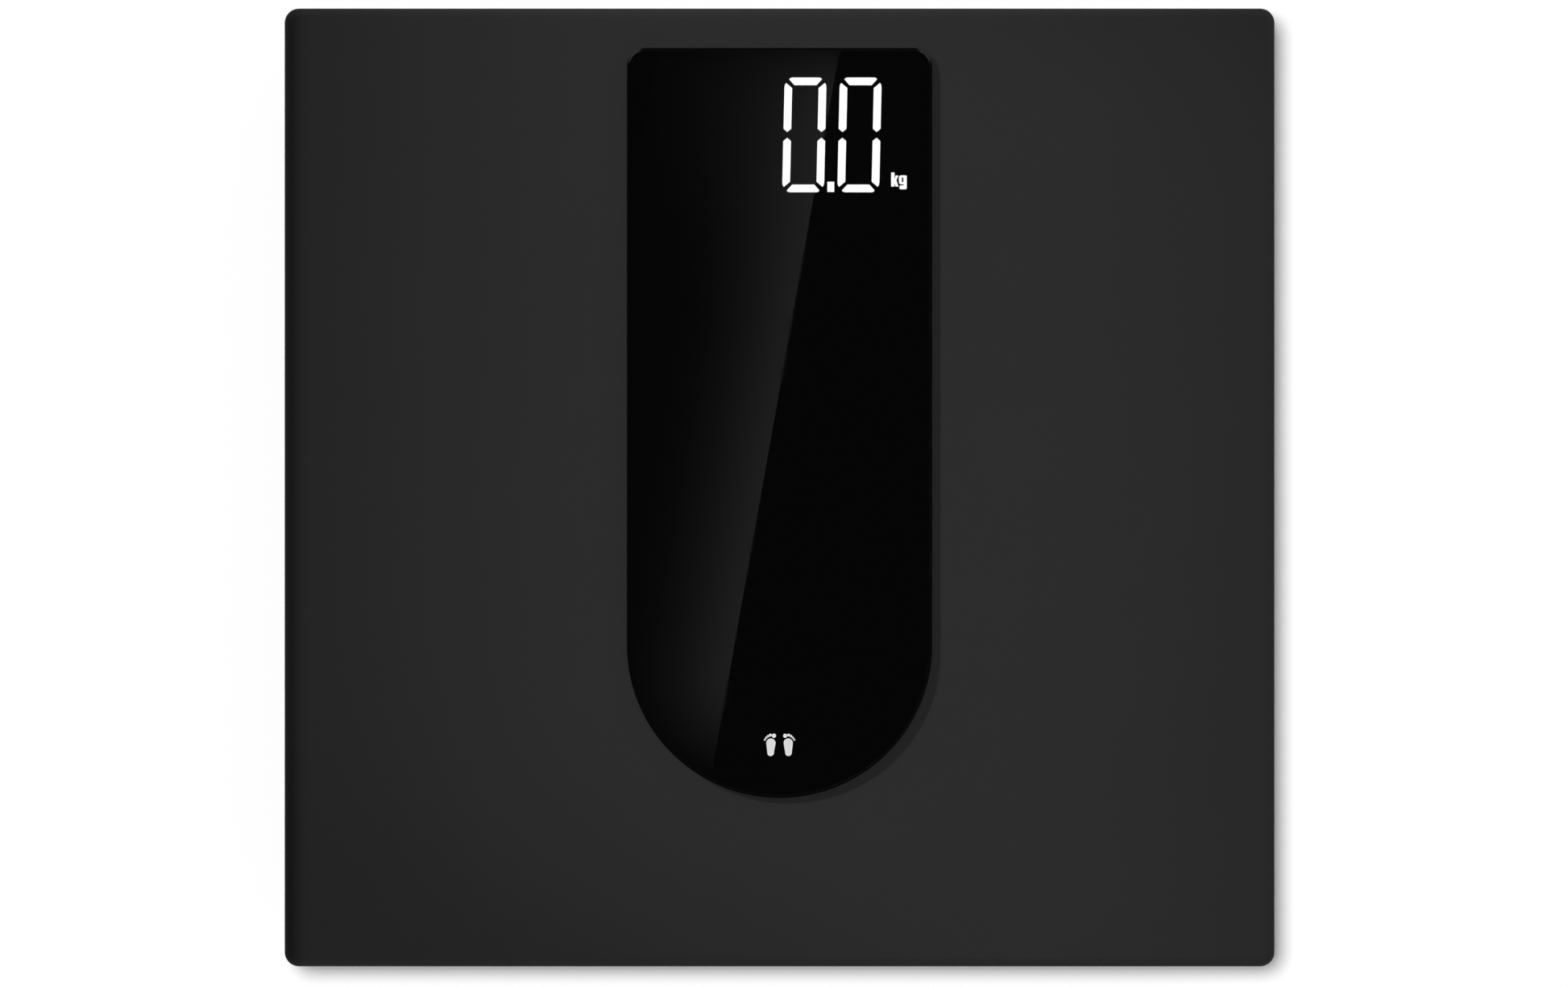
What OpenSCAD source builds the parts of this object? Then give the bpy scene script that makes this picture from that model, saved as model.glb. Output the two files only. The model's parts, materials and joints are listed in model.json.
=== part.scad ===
// Digital bathroom scale: a painted steel platform over a plastic tray, with a raised
// display panel, four load-cell feet and a battery bay that opens from below.
// The origin is at the middle of the footprint, on the floor. +Y points to the display
// end, +X to the reader's right, +Z up. Millimetres.

/* [Platform] */
// Width of the platform, left to right
plate_w = 310; // [306:1:316]
// Depth of the platform, from the heel end to the display end
plate_d = 300; // [298:1:306]
// Height of the platform's top face above the floor
plate_top = 24; // [24:0.5:26]
// Thickness of the steel sheet
sheet_t = 1; // [0.8:0.1:1.2]
// Corner radius of the platform in plan
corner_r = 4.5; // [4:0.5:8]
// Outer radius of the rolled edge between top face and skirt
roll_r = 3.5; // [2:0.5:4]
// Height of the skirt, from top face to hem
skirt_h = 12; // [10:0.5:13]

/* [Display panel] */
// Width of the glossy panel
panel_w = 95.5; // [94:0.5:100]
// Length of the glossy panel, from its straight end to its round end
panel_l = 234.5; // [200:0.5:240]
// Gap between the panel's straight end and the platform's edge
panel_gap = 12.6; // [10:0.2:14]
// Corner radius at the panel's straight end
panel_corner_r = 6; // [4:0.5:8]
// Thickness of the panel
panel_t = 2.4; // [2:0.1:3]
// Polished chamfer round the panel's top edge
panel_chamfer = 0.8; // [0.4:0.1:1]

/* [Digits] */
// Height of a digit
digit_h = 35.9; // [30:0.1:37]
// Width of a digit
digit_w = 13.1; // [12:0.1:14]
// Distance between neighbouring digits
digit_pitch = 17.25; // [16.5:0.05:17.5]
// Width of a lit bar
bar_t = 2.42; // [2.2:0.02:2.6]
// Lean of the digits to the right, in degrees
digit_lean = 1.28; // [0:0.02:3]

/* [Base tray] */
// Gap between the floor and the underside of the base tray
floor_gap = 5; // [5:0.1:5.5]
// Wall thickness of the base tray
tray_t = 2.2; // [2:0.1:2.4]
// How far the visible lower wall stands back from the platform's edge
tray_inset = 5; // [4:0.5:6]

/* [Feet] */
// Distance from the centre line to a foot, left and right
foot_x = 122; // [120:1:123]
// Distance from the centre line to a foot, towards each end
foot_y = 116; // [114:1:118]
// Outer radius of a foot
foot_r = 18; // [17:0.5:18]
// Radius of the rubber pad under a foot
pad_r = 16; // [14:0.5:16]
// Side of a square load cell
cell_side = 34; // [32:1:34]

/* [Battery bay] */
// Diameter of a cell
battery_dia = 10.4; // [10:0.1:10.5]
// Length of a cell's can, without its nub
battery_len = 43.5; // [43:0.1:44]
// Distance between neighbouring cells
battery_pitch = 11.4; // [11:0.1:11.5]

/* [Hidden] */
$fn = 64;

// Heights above the floor
sheet_z = plate_top - sheet_t;
hem_z = plate_top - skirt_h;
tape_t = 0.4;
film_t = 0.2;
film_z = plate_top + tape_t;
panel_z = film_z + film_t;
panel_top = panel_z + panel_t;
tray_z = floor_gap;
deck_z = tray_z + tray_t;
waist_z = hem_z;
tray_top = sheet_z - 1.5;
pad_t = 1.6;
cell_t = 1.6;
cell_z = deck_z + 2.4;
relief_z = cell_z + cell_t;
holder_top = relief_z + 3.8;
board_t = 1.6;
main_board_z = deck_z + 6.8;
main_board_top = main_board_z + board_t;
face_z = film_z;
display_board_z = face_z - 8.5;
housing_z = display_board_z + board_t;

// Panel outline: centre of its round end and its straight end
panel_r = panel_w / 2;
panel_end_y = plate_d / 2 - panel_gap;
panel_arc_y = panel_end_y - panel_l + panel_r;

// Window in the platform for the display
window_x = 3;
window_w = 82;
window_d = 46.4;
digit_y = 110.25;
ones_x = 7.75;
display_fit = 1.5;

// Base tray outlines
skirt_gap = 0.3;
tray_w = plate_w - 2 * (sheet_t + skirt_gap);
tray_d = plate_d - 2 * (sheet_t + skirt_gap);
tray_corner = corner_r - sheet_t - skirt_gap;
lower_w = plate_w - 2 * tray_inset;
lower_d = plate_d - 2 * tray_inset;
lower_corner = 8;
lower_roll = 4;
step_t = 2;
rib_t = 1.6;
rib_h = 3;
rib_xs = [-84, -50, 50, 84];
rib_ys = [-78, 0, 70];

// Fasteners
plate_screws = [for (s = [-1, 1]) each [[62 * s, 138], [62 * s, -138], [92 * s, 30], [92 * s, -40]]];
plate_screw_r = 1.45;
plate_screw_head = [3.2, 2];
plate_boss_r = 5.5;
plate_recess = 3;
standoff_r = 3.5;
standoff_z = 17;
small_screw_r = 1;
small_head = [2.3, 1.4];
screw_play = 0.1;
display_posts = [for (x = [-43, 43], y = [-22, 22]) [window_x + x, digit_y + y]];
board_posts = [for (x = [-34, 34], y = [12, 48]) [x, y]];
post_r = 3;

// Feet
opening_r = foot_r + 0.6;
foot_wall = 1.6;
foot_top = deck_z - 0.6;
lug_gap = 0.6;
lug_h = 1;
lug_reach = 1.2;
lug_step = 0.2;
post_pin_r = 5;
holder_side = 44;
ear_x = -26.5;
ear_y = 14;
ear_w = 9;
ear_t = 2.4;
CORNERS = [["front_left", -1, 1], ["front_right", 1, 1], ["back_left", -1, -1], ["back_right", 1, -1]];

// Battery bay and its door
door_w = 56;
door_d = 40;
door_y = -44;
door_gap = 0.4;
door_t = 1.9;
bay_floor_z = tray_z + 3.4;
bay_x = 26.2;
bay_back = door_y - door_d / 2 - door_gap - 3.2;
bay_front = door_y + door_d / 2 + 0.6;
bay_wall = 1.6;
bay_top = deck_z + 11.8;
battery_z = bay_floor_z + battery_dia / 2 + 0.1;
nub_r = 1.9;
nub_l = 0.9;
contact_t = 0.4;
spring_l = 2 * (bay_x - contact_t) - battery_len - nub_l;
hinge_r = door_t / 2;
hinge_y = door_y - door_d / 2 + hinge_r;
hinge_z = tray_z + hinge_r;
hinge_pin_r = 0.6;
hinge_pin_play = 0.05;
hinge_pin_l = 2.2;

// Unit button and its switch
button_x = 28;
button_y = 18;
button_r = 3.8;
button_play = 0.5;
switch_h = 3.6;
plunger_r = 1.7;

// Carved-out shapes run past the solids they cut by this much
over = 0.5;

// ---------- shared shapes ----------

// A profile, drawn as outward distance and height, run round a rectangle with round corners
module rim(w, d, r) {
    for (k = [0:3]) {
        reach = (k % 2 == 0 ? w : d) / 2 - r;
        along = (k % 2 == 0 ? d : w) / 2 - r;
        rotate(90 * k) translate([reach, along, 0]) {
            rotate([90, 0, 0]) linear_extrude(2 * along) children();
            rotate_extrude(angle = 90) children();
        }
    }
}

// A block with round corners in plan
module block(w, d, r, z0, z1) {
    translate([r - w / 2, r - d / 2, z0]) cube([w - 2 * r, d - 2 * r, z1 - z0]);
    rim(w, d, r) translate([0, z0]) square([r, z1 - z0]);
}

// A block whose lower edge is rounded too
module dish(w, d, r, roll, z0, z1) {
    translate([r - w / 2, r - d / 2, z0]) cube([w - 2 * r, d - 2 * r, z1 - z0]);
    rim(w, d, r) {
        translate([0, z0]) square([r - roll, z1 - z0]);
        translate([0, z0 + roll]) square([r, z1 - z0 - roll]);
        translate([r - roll, z0 + roll]) circle(roll);
    }
}

// A cube centred in plan, between two heights
module slab(x, y, w, d, z0, z1) {
    translate([x - w / 2, y - d / 2, z0]) cube([w, d, z1 - z0]);
}

// An upright cylinder between two heights
module rod(x, y, r, z0, z1) {
    translate([x, y, z0]) cylinder(r = r, h = z1 - z0);
}

// A screw seen from its head: the head's underside is at z, the shank runs along dir
module screw(p, z, dir, shank_r, head, length) {
    slot = head[0] * 0.3;
    translate([p[0], p[1], z]) mirror([0, 0, dir > 0 ? 1 : 0]) {
        difference() {
            cylinder(r = head[0], h = head[1]);
            for (a = [0, 90]) {
                rotate(a) translate([-head[0] * 0.6, -slot / 2, head[1] * 0.5])
                    cube([head[0] * 1.2, slot, head[1]]);
            }
        }
        translate([0, 0, -length]) cylinder(r = shank_r, h = length);
    }
}

function unit(v) = v / norm(v);

// Points of a curve through given points, with extra points between them
function blend_at(a, b, c, d, t) =
    0.5 * (2 * b + (c - a) * t + (2 * a - 5 * b + 4 * c - d) * t * t + (3 * b - a - 3 * c + d) * t * t * t);
function smooth(p, steps) = let (last = len(p) - 1) [
    for (i = [0:last - 1]) each [
        for (s = [0:steps - 1])
            blend_at(p[max(i - 1, 0)], p[i], p[i + 1], p[min(i + 2, last)], s / steps)
    ],
    p[last]
];

// A round tube swept along a path; ref is a direction that the path never follows
module tube(path, r, sides, ref) {
    last = len(path) - 1;
    dirs = [for (i = [0:last]) unit(path[min(i + 1, last)] - path[max(i - 1, 0)])];
    points = [
        for (i = [0:last]) let (u = unit(cross(dirs[i], ref)), v = cross(dirs[i], u))
            each [for (k = [0:sides - 1]) path[i] + r * (cos(360 * k / sides) * u + sin(360 * k / sides) * v)]
    ];
    walls = [
        for (i = [0:last - 1], k = [0:sides - 1]) let (n = (k + 1) % sides)
            each [
                [i * sides + k, (i + 1) * sides + k, i * sides + n],
                [i * sides + n, (i + 1) * sides + k, (i + 1) * sides + n]
            ]
    ];
    start_cap = [for (k = [0:sides - 1]) k];
    end_cap = [for (k = [sides - 1:-1:0]) last * sides + k];
    polyhedron(points = points, faces = concat(walls, [start_cap], [end_cap]));
}

// Moves a shape that is drawn about a foot's centre to one corner, mirrored as needed
module at_corner(c) {
    translate([c[1] * foot_x, c[2] * foot_y, 0])
        mirror([c[1] < 0 ? 1 : 0, 0, 0]) mirror([0, c[2] < 0 ? 1 : 0, 0]) children();
}

// ---------- platform ----------

// A quarter of a disc, from its centre outwards and upwards
module quarter(r) {
    intersection() {
        circle(r);
        square(r + over);
    }
}

// Section of the formed edge: top flange, rolled corner and skirt
module sheet_edge() {
    flat = corner_r - roll_r;
    wall = corner_r - sheet_t;
    difference() {
        union() {
            translate([0, hem_z]) square([flat, skirt_h]);
            translate([flat, hem_z]) square([roll_r, skirt_h - roll_r]);
            translate([flat, plate_top - roll_r]) quarter(roll_r);
        }
        translate([-over, hem_z - over]) square([flat + over, skirt_h - sheet_t + over]);
        translate([flat - over, hem_z - over]) square([wall - flat + over, skirt_h - roll_r + over]);
        translate([flat, plate_top - roll_r]) quarter(roll_r - sheet_t);
    }
}

module tread_plate() {
    color("#2b2b2c") difference() {
        union() {
            rim(plate_w, plate_d, corner_r) sheet_edge();
            slab(0, 0, plate_w - 2 * corner_r, plate_d - 2 * corner_r, sheet_z, plate_top);
        }
        slab(window_x, digit_y, window_w, window_d, sheet_z - over, plate_top + over);
    }
}

// Threaded standoffs welded under the sheet, one over each tray screw
module plate_standoffs() {
    color("silver") for (p = plate_screws) {
        difference() {
            rod(p[0], p[1], standoff_r, standoff_z, sheet_z);
            rod(p[0], p[1], plate_screw_r + screw_play, standoff_z - over, sheet_z - 1);
        }
    }
}

// A hat-section channel under the sheet, resting on both load-cell holders of one side
module stiffener(side) {
    web = 36;
    flange = 6;
    h = sheet_z - holder_top;
    half = web / 2;
    color("silver") translate([side * foot_x, 141, holder_top]) rotate([90, 0, 0]) linear_extrude(282)
        difference() {
            union() {
                translate([-half, 0]) square([web, h]);
                translate([-half - flange, h - 1]) square([web + 2 * flange, 1]);
            }
            translate([1 - half, 1]) square([web - 2, h]);
        }
}

module stiffener_left() { stiffener(-1); }

module stiffener_right() { stiffener(1); }

// ---------- glossy panel ----------

// Outline of the panel: straight end with two round corners, and a round end
module panel_outline(inset) {
    corner_x = panel_r - panel_corner_r;
    corner_y = panel_end_y - panel_corner_r;
    difference() {
        translate([0, panel_arc_y]) circle(panel_r - inset);
        translate([-panel_w, panel_arc_y]) square([2 * panel_w, panel_w]);
    }
    translate([inset - panel_r, panel_arc_y]) square([panel_w - 2 * inset, corner_y - panel_arc_y]);
    translate([-corner_x, corner_y]) square([2 * corner_x, panel_corner_r - inset]);
    for (s = [-1, 1]) {
        translate([s * corner_x, corner_y]) intersection() {
            circle(panel_corner_r - inset);
            translate([s > 0 ? 0 : -panel_r, 0]) square(panel_r);
        }
    }
}

// Flat layer of the panel with a window over the display
module panel_layer(inset, z, t) {
    translate([0, 0, z]) linear_extrude(t) difference() {
        panel_outline(inset);
        translate([window_x - window_w / 2, digit_y - window_d / 2]) square([window_w, window_d]);
    }
}

module panel_tape() {
    color("dimgray") panel_layer(1.5, plate_top, tape_t);
}

module panel_backing() {
    color("black") panel_layer(0.6, film_z, film_t);
}

// Half of the panel's section, out to the chamfered edge of a stretch with radius or reach r
module panel_section(r) {
    polygon([[0, 0], [r, 0], [r, panel_t - panel_chamfer], [r - panel_chamfer, panel_t], [0, panel_t]]);
}

module display_panel() {
    corner_x = panel_r - panel_corner_r;
    corner_y = panel_end_y - panel_corner_r;
    color([0.03, 0.03, 0.035, 0.6]) difference() {
        translate([0, 0, panel_z]) {
            translate([0, panel_arc_y, 0]) rotate(180) rotate_extrude(angle = 180) panel_section(panel_r);
            for (s = [0, 1]) {
                mirror([s, 0, 0]) {
                    translate([0, corner_y, 0]) rotate([90, 0, 0])
                        linear_extrude(corner_y - panel_arc_y) panel_section(panel_r);
                    translate([corner_x, corner_y, 0]) rotate_extrude(angle = 90)
                        panel_section(panel_corner_r);
                }
            }
            translate([corner_x, corner_y, 0]) rotate([90, 0, -90]) mirror([1, 0, 0])
                linear_extrude(2 * corner_x) panel_section(panel_corner_r);
        }
        translate([0, 0, symbol_z]) linear_extrude(1) footprints();
    }
}

// Printed pictogram near the panel's round end: a pair of footprints
symbol_y = -80.7;
symbol_t = 0.1;
symbol_z = panel_top - symbol_t;
foot_spread = 2.7;
toes = [[-0.95, 3.1, 0.65], [0.15, 3.3, 0.45], [0.9, 2.95, 0.38], [1.48, 2.45, 0.34], [1.92, 1.85, 0.3]];

module footprint() {
    ball_r = 1.45;
    heel_r = 1.05;
    translate([0, 0.8]) circle(ball_r);
    translate([0.1, -2.2]) circle(heel_r);
    polygon([[-1.44, 0.7], [-0.94, -2.1], [1.14, -2.1], [1.44, 0.7]]);
    for (t = toes) translate([t[0], t[1]]) circle(t[2]);
}

module footprints() {
    for (s = [0, 1]) {
        translate([0, symbol_y]) mirror([s == 0 ? 1 : 0, 0]) translate([foot_spread, 0]) footprint();
    }
}

module panel_symbol() {
    color("white") translate([0, 0, symbol_z]) linear_extrude(symbol_t) footprints();
}

// ---------- display ----------

// Bars of a digit about its centre: top, upper right, lower right, bottom, lower left,
// upper left, middle
half_w = digit_w / 2;
half_h = digit_h / 2;
end_bar = [
    [half_w - 3.1, half_h - bar_t], [half_w - 1.45, half_h - 0.6], [half_w - 1.7, half_h - 0.2],
    [half_w - 2.35, half_h], [2.35 - half_w, half_h], [1.7 - half_w, half_h - 0.2],
    [1.45 - half_w, half_h - 0.6], [3.1 - half_w, half_h - bar_t]
];
side_bar = [
    [half_w - 0.49, half_h - 1.7], [half_w - 0.1, half_h - 2.35], [half_w, half_h - 3.3], [half_w, 1.9],
    [half_w - bar_t / 2, 0.9], [half_w - bar_t, 1.9], [half_w - bar_t, half_h - 3.3]
];
middle_bar = [for (s = [1, -1]) each [[s * (2.2 - half_w), 0], [s * (3.3 - half_w), s * bar_t / 2],
    [s * (half_w - 3.3), s * bar_t / 2]]];
BARS = [
    end_bar, side_bar, flip(side_bar, 1, -1), flip(end_bar, 1, -1), flip(side_bar, -1, -1),
    flip(side_bar, -1, 1), middle_bar
];
ALL_BARS = [0:6];
ZERO = [0:5];
DIGIT_XS = [for (k = [-2:1]) ones_x + k * digit_pitch];

function flip(points, sx, sy) = [for (p = points) [sx * p[0], sy * p[1]]];
function lean(p) = [p[0] + p[1] * tan(digit_lean), p[1]];

module digit(x, bars) {
    translate([x, digit_y]) for (k = bars) polygon([for (p = BARS[k]) lean(p)]);
}

dot_size = [2.15, 3.2];
dot_at = [14.95, 92.4];

module dot() {
    translate(dot_at) square(dot_size);
}

// The letters of the weight unit, from their lower left corner
unit_at = [34.9, 94.1];

module rounded(x, y, w, h, r) {
    translate([x + r, y]) square([w - 2 * r, h]);
    translate([x, y + r]) square([w, h - 2 * r]);
    for (cx = [x + r, x + w - r], cy = [y + r, y + h - r]) translate([cx, cy]) circle(r);
}

module unit_letters() {
    translate(unit_at) {
        square([1.05, 4.4]);
        polygon([[1, 1.2], [1, 2.1], [1.4, 3.45], [2.25, 3.45], [1.62, 1.95], [2.3, 0], [1.42, 0]]);
        translate([2.42, 0]) {
            difference() {
                rounded(0, 0.72, 2.4, 2.78, 0.7);
                rounded(0.9, 1.35, 0.5, 1.55, 0.2);
            }
            translate([1.5, 0]) square([0.95, 3.45]);
            rounded(0.15, -0.85, 2.3, 1.2, 0.45);
        }
    }
}

// A shape of the display's face as a solid plug that ends flush with the face
plug_t = 3;

module plug() {
    translate([0, 0, face_z - plug_t]) linear_extrude(plug_t) children();
}

module display_housing() {
    color("#0d0d0e") difference() {
        union() {
            slab(window_x, digit_y, 92, 50, housing_z, housing_z + 2);
            slab(window_x, digit_y, window_w - 2 * display_fit, window_d - 2 * display_fit, housing_z, face_z);
        }
        translate([0, 0, housing_z - over]) linear_extrude(face_z - housing_z + 2 * over) {
            for (x = DIGIT_XS) digit(x, ALL_BARS);
            dot();
            unit_letters();
        }
        for (p = display_posts) rod(p[0], p[1], small_screw_r + screw_play, housing_z - over, face_z);
    }
}

module digit_ones() {
    color("white") plug() digit(DIGIT_XS[2], ZERO);
}

module digit_tenths() {
    color("white") plug() digit(DIGIT_XS[3], ZERO);
}

module decimal_point() {
    color("white") plug() dot();
}

module unit_symbol() {
    color("white") plug() unit_letters();
}

module unlit_segments() {
    color("#303032") plug() {
        for (k = [0, 1]) digit(DIGIT_XS[k], ALL_BARS);
        for (k = [2, 3]) digit(DIGIT_XS[k], [6]);
    }
}

module display_board() {
    color("darkgreen") difference() {
        slab(window_x, digit_y, 92, 50, display_board_z, housing_z);
        for (p = display_posts) rod(p[0], p[1], small_screw_r + screw_play, display_board_z - over, face_z);
    }
}

// A small lamp on the board behind each bar
module display_leds() {
    bar_x = half_w - bar_t / 2;
    places = [for (s = [-1, 1]) each [[0, s * (half_h - bar_t / 2)], [bar_x, s * half_h / 2],
        [-bar_x, s * half_h / 2]], [0, 0]];
    spots = concat([for (x = DIGIT_XS, p = places) [x, digit_y] + lean(p)], [dot_at + dot_size / 2]);
    color("ivory") for (p = spots) slab(p[0], p[1], 1.6, 0.8, housing_z, housing_z + 0.8);
}

header_w = 20;
header_d = 5;
header_y = digit_y - 20;

module display_header() {
    color("ivory") slab(window_x, header_y, header_w, header_d, display_board_z - 4, display_board_z);
}

module display_screws() {
    color("silver") for (p = display_posts)
        screw(p, housing_z + 2, -1, small_screw_r, small_head, 8);
}

// Flat cable between the two boards, its path drawn sideways as distance and height
ribbon_from = [header_y - header_d / 2, display_board_z - 2];
ribbon_to = [52, main_board_top + 2];
ribbon_w = 16;
ribbon_t = 0.6;

module ribbon_cable() {
    steps = 16;
    path = [for (k = [0:steps]) let (t = k / steps, ease = (1 - cos(180 * t)) / 2)
        [ribbon_from[0] + (ribbon_to[0] - ribbon_from[0]) * t,
         ribbon_from[1] + (ribbon_to[1] - ribbon_from[1]) * ease]];
    outline = concat(path, [for (k = [steps:-1:0]) path[k] + [0, ribbon_t]]);
    color("lightgray") translate([window_x - ribbon_w / 2, 0, 0]) rotate([90, 0, 90])
        linear_extrude(ribbon_w) polygon(outline);
}

// ---------- main board ----------

module main_board() {
    color("darkgreen") difference() {
        slab(0, 30, 76, 44, main_board_z, main_board_top);
        for (p = board_posts) rod(p[0], p[1], small_screw_r + screw_play, main_board_z - over, main_board_top + over);
    }
}

// Square chip with a row of legs on each side
module controller_chip() {
    body = 10;
    color("#1a1a1a") {
        slab(-8, 30, body, body, main_board_top + 0.2, main_board_top + 1.6);
        for (a = [0:90:270], k = [-4:4]) {
            translate([-8, 30, 0]) rotate(a) slab(body / 2 + 0.5, k, 1.2, 0.4, main_board_top, main_board_top + 0.8);
        }
    }
}

// Crystal, smoothing capacitors and small surface parts
module board_components() {
    top = main_board_top;
    color("tan") {
        block_at(-22, 30, 4, 11, top, top + 3.5);
        for (y = [24, 36]) rod(14, y, 3, top, top + 5.4);
        for (x = [4, 8, 20, 24], y = [20, 26, 32, 38]) slab(x, y, 2, 1.2, top, top + 0.7);
    }
}

// A block with half-round ends, standing upright
module block_at(x, y, w, d, z0, z1) {
    for (s = [-1, 1]) rod(x, y + s * (d - w) / 2, w / 2, z0, z1);
    slab(x, y, w, d - w, z0, z1);
}

lead_header = [6, 8, 5];

module board_headers() {
    top = main_board_top;
    color("ivory") {
        for (x = [-35, 35], y = [22, 38]) slab(x, y, lead_header[0], lead_header[1], top, top + lead_header[2]);
        slab(0, 11, lead_header[1], lead_header[0], top, top + lead_header[2]);
        slab(window_x, 49.5, header_w, header_d, top, top + lead_header[2]);
    }
}

module board_screws() {
    color("silver") for (p = board_posts) screw(p, main_board_top, -1, small_screw_r, small_head, 6);
}

// ---------- unit button ----------

module unit_switch() {
    color("#222222") difference() {
        slab(button_x, button_y, 6, 6, main_board_z - switch_h, main_board_z);
        rod(button_x, button_y, plunger_r + 0.05, main_board_z - switch_h - over, main_board_z - 1.2);
    }
}

plunger_z = main_board_z - switch_h - 0.8;

module switch_plunger() {
    color("ivory") rod(button_x, button_y, plunger_r, plunger_z, main_board_z - 2);
}

module unit_button() {
    color("gray") {
        rod(button_x, button_y, button_r, tray_z, deck_z + 1.2);
        rod(button_x, button_y, button_r + 1.7, deck_z + 0.2, deck_z + 1.2);
        rod(button_x, button_y, 2.2, deck_z + 1, plunger_z);
    }
}

// ---------- base tray ----------

module tray_shell() {
    difference() {
        union() {
            dish(lower_w, lower_d, lower_corner, lower_roll, tray_z, waist_z + step_t);
            block(tray_w, tray_d, tray_corner, waist_z, tray_top);
        }
        dish(lower_w - 2 * tray_t, lower_d - 2 * tray_t, lower_corner - tray_t, lower_roll - tray_t,
            deck_z, waist_z + step_t + over);
        block(tray_w - 2 * tray_t, tray_d - 2 * tray_t, tray_corner / 2, waist_z + step_t, tray_top + over);
    }
}

// Everything that stands on the inside of the tray's floor
module tray_inside() {
    for (x = rib_xs) slab(x, 0, rib_t, lower_d - tray_t, deck_z - over, deck_z + rib_h);
    for (y = rib_ys) slab(0, y, lower_w - tray_t, rib_t, deck_z - over, deck_z + rib_h);
    for (p = plate_screws) rod(p[0], p[1], plate_boss_r, deck_z - over, standoff_z);
    for (p = display_posts) rod(p[0], p[1], post_r, deck_z - over, display_board_z);
    for (p = board_posts) rod(p[0], p[1], post_r, deck_z - over, main_board_z);
    for (c = CORNERS, s = [-1, 1]) at_corner(c) rod(ear_x, s * ear_y, post_r, deck_z - over, relief_z);
    bay_mid = (bay_back + bay_front) / 2;
    bay_d = bay_front - bay_back;
    slab(0, bay_mid, 2 * bay_x + 10, bay_d + 8, deck_z - over, bay_floor_z);
    slab(0, bay_mid, 2 * (bay_x + bay_wall), bay_d + 2 * bay_wall, deck_z - over, bay_top);
}

// Everything that is cut from the tray
module tray_cuts() {
    bay_mid = (bay_back + bay_front) / 2;
    latch_w = 15;
    for (c = CORNERS) at_corner(c) rod(0, 0, opening_r, tray_z - over, deck_z + rib_h + over);
    for (p = plate_screws) {
        rod(p[0], p[1], plate_screw_head[0] + 0.6, tray_z - over, tray_z + plate_recess);
        rod(p[0], p[1], plate_screw_r + screw_play, tray_z, standoff_z + over);
    }
    for (p = display_posts) rod(p[0], p[1], small_screw_r + screw_play, deck_z, face_z);
    for (p = board_posts) rod(p[0], p[1], small_screw_r + screw_play, deck_z, main_board_top);
    for (c = CORNERS, s = [-1, 1]) at_corner(c)
        rod(ear_x, s * ear_y, small_screw_r + screw_play, deck_z - 1, holder_top);
    slab(0, bay_mid, 2 * bay_x, bay_front - bay_back, bay_floor_z, bay_top + over);
    slab(0, door_y, door_w + 2 * door_gap, door_d + 2 * door_gap, tray_z - over, tray_z + 2);
    slab(0, door_y - 1.7, 49, door_d - 3.4 + 2 * door_gap, tray_z - over, bay_floor_z + over);
    slab(0, door_y + door_d / 2 - 3, latch_w, 6 + 2 * door_gap, tray_z - over, bay_floor_z + over);
    hinge_rod(hinge_pin_r + hinge_pin_play, door_w + 2 * hinge_pin_l + 0.6);
    rod(button_x, button_y, button_r + button_play, tray_z - over, deck_z + over);
}

module base_tray() {
    color("#1b1b1c") difference() {
        union() {
            tray_shell();
            tray_inside();
        }
        tray_cuts();
    }
}

module tray_screws() {
    color("silver") for (p = plate_screws)
        screw(p, tray_z + plate_recess, 1, plate_screw_r, plate_screw_head, sheet_z - tray_z - plate_recess - 3);
}

module rating_label() {
    color("gainsboro") slab(0, -112, 70, 34, tray_z - 0.15, tray_z);
}

// ---------- battery bay ----------

// A round bar along the door's hinge axis
module hinge_rod(r, length) {
    translate([-length / 2, hinge_y, hinge_z]) rotate([0, 90, 0]) cylinder(r = r, h = length);
}

module battery_door() {
    flat_d = door_d - hinge_r;
    color("#1b1b1c") {
        difference() {
            slab(0, door_y + hinge_r / 2, door_w, flat_d, tray_z, tray_z + door_t);
            slab(0, door_y + door_d / 2 - 5, 16, 6, tray_z - over, tray_z + 0.9);
        }
        hinge_rod(hinge_r, door_w);
        hinge_rod(hinge_pin_r, door_w + 2 * hinge_pin_l);
        slab(0, door_y + door_d / 2 - 0.8, 12, 1.2, tray_z + door_t - over, bay_floor_z + 1.2);
        for (x = [-12, 12]) slab(x, door_y, 1.6, 30, tray_z + door_t - over, bay_floor_z);
    }
}

// One cell; its nub points along dir
module battery(row, dir) {
    y = door_y + (row - 1) * battery_pitch;
    nub_end = bay_x - contact_t;
    translate([0, y, battery_z]) mirror([dir < 0 ? 1 : 0, 0, 0]) rotate([0, -90, 0]) translate([0, 0, -nub_end]) {
        cylinder(r = nub_r, h = nub_l + over);
        translate([0, 0, nub_l]) cylinder(d = battery_dia, h = battery_len);
    }
}

module battery_1() { color("goldenrod") battery(0, 1); }

module battery_2() { color("goldenrod") battery(1, -1); }

module battery_3() { color("goldenrod") battery(2, 1); }

// Spring and nub contacts on the bay's end walls, joined in pairs to link the cells in series
module contact_plates() {
    plate = [contact_t, 9, 9];
    x = bay_x - contact_t / 2;
    single = [[-1, 0], [1, 2]];
    pair = [[1, 0], [-1, 1]];
    color("silver") {
        for (s = single) {
            y = door_y + (s[1] - 1) * battery_pitch;
            slab(s[0] * x, y, contact_t, plate[1], battery_z - 4.5, battery_z + 4.5);
            slab(s[0] * x, y, contact_t, 3, battery_z + 4, bay_top + 1);
        }
        for (s = pair) {
            y = door_y + (s[1] - 0.5) * battery_pitch;
            slab(s[0] * x, y, contact_t, plate[1] + battery_pitch, battery_z - 4.5, battery_z + 4.5);
        }
    }
}

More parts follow.
